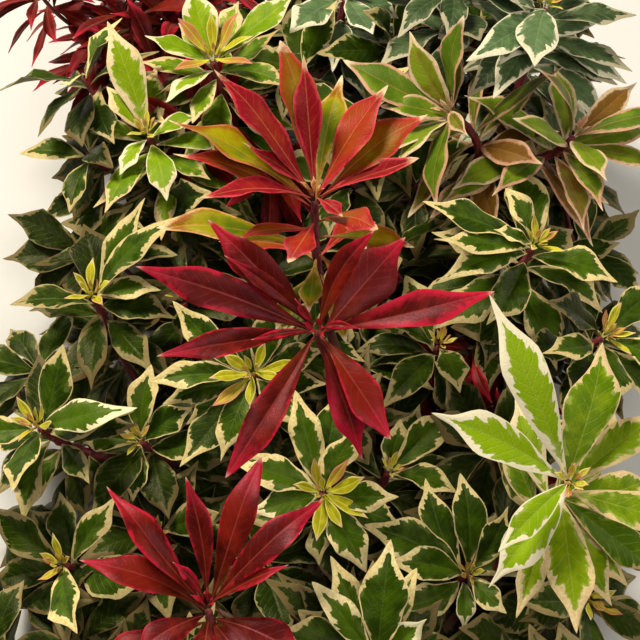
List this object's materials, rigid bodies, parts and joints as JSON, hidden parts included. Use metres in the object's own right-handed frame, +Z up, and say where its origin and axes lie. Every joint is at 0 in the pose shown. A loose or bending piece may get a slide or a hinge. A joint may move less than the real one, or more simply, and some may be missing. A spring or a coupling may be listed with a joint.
{
  "type": "cut pieris branch",
  "caption": "Leafy branch cut from a variegated pieris shrub, lying down: whorls of burgundy, orange-red and cream-edged green leaves on rising shoots.",
  "frame": {"origin": "middle of the branch's footprint, on the surface that it lies on", "axes": "+Z up, away from the surface; the cut end of the stem points to -Y and the tip to +Y"},
  "size_m": [0.31, 0.4392, 0.1937],
  "materials": {
    "bark": "matt",
    "young_bark": "satin",
    "burgundy_leaf": "satin",
    "turning_leaf": "satin",
    "cream_edged_leaf": "satin"
  },
  "bodies": {
    "root": {"main_stem": "bark", "bough_red_front": "bark", "shoot_cream_low_left": "young_bark", "shoot_cream_under_front": "young_bark", "shoot_cream_corner_left": "young_bark", "bough_cream_low_right": "bark", "shoot_cream_near": "young_bark", "shoot_fresh_right": "young_bark", "shoot_cream_corner_right": "young_bark", "bough_cream_middle": "bark", "shoot_cream_inner_right": "young_bark", "bough_cream_low_side": "bark", "shoot_cream_left": "young_bark", "shoot_cream_high_side": "young_bark", "shoot_cream_inner_left": "young_bark", "shoot_cream_edge_left": "young_bark", "bough_red_crown": "bark", "shoot_amber_crown": "young_bark", "bough_olive_right": "bark", "shoot_cream_behind_red": "young_bark", "shoot_dark_red_low": "young_bark", "shoot_cream_side_right": "young_bark", "bough_yellow_far_left": "bark", "shoot_cream_far_side": "young_bark", "shoot_red_far_left": "young_bark", "bough_olive_far_right": "bark", "shoot_grey_far_corner": "young_bark", "shoot_olive_edge_right": "young_bark", "shoot_grey_far": "young_bark", "leaves_tip_far": "cream_edged_leaf", "leaves_red_front": "burgundy_leaf", "leaves_cream_low_left": "cream_edged_leaf", "leaves_cream_under_front": "cream_edged_leaf", "leaves_cream_corner_left": "cream_edged_leaf", "leaves_cream_low_right": "cream_edged_leaf", "leaves_cream_near": "cream_edged_leaf", "leaves_fresh_right": "cream_edged_leaf", "leaves_cream_corner_right": "cream_edged_leaf", "leaves_cream_middle": "cream_edged_leaf", "leaves_cream_inner_right": "cream_edged_leaf", "leaves_cream_low_side": "cream_edged_leaf", "leaves_cream_left": "cream_edged_leaf", "leaves_cream_high_side": "cream_edged_leaf", "leaves_cream_inner_left": "cream_edged_leaf", "leaves_cream_edge_left": "cream_edged_leaf", "leaves_red_crown": "burgundy_leaf", "leaves_amber_crown": "turning_leaf", "leaves_olive_right": "cream_edged_leaf", "leaves_cream_behind_red": "cream_edged_leaf", "leaves_dark_red_low": "burgundy_leaf", "leaves_cream_side_right": "cream_edged_leaf", "leaves_yellow_far_left": "cream_edged_leaf", "leaves_cream_far_side": "cream_edged_leaf", "leaves_red_far_left": "burgundy_leaf", "leaves_olive_far_right": "turning_leaf", "leaves_grey_far_corner": "cream_edged_leaf", "leaves_olive_edge_right": "turning_leaf", "leaves_grey_far": "cream_edged_leaf"}
  },
  "joints": []
}
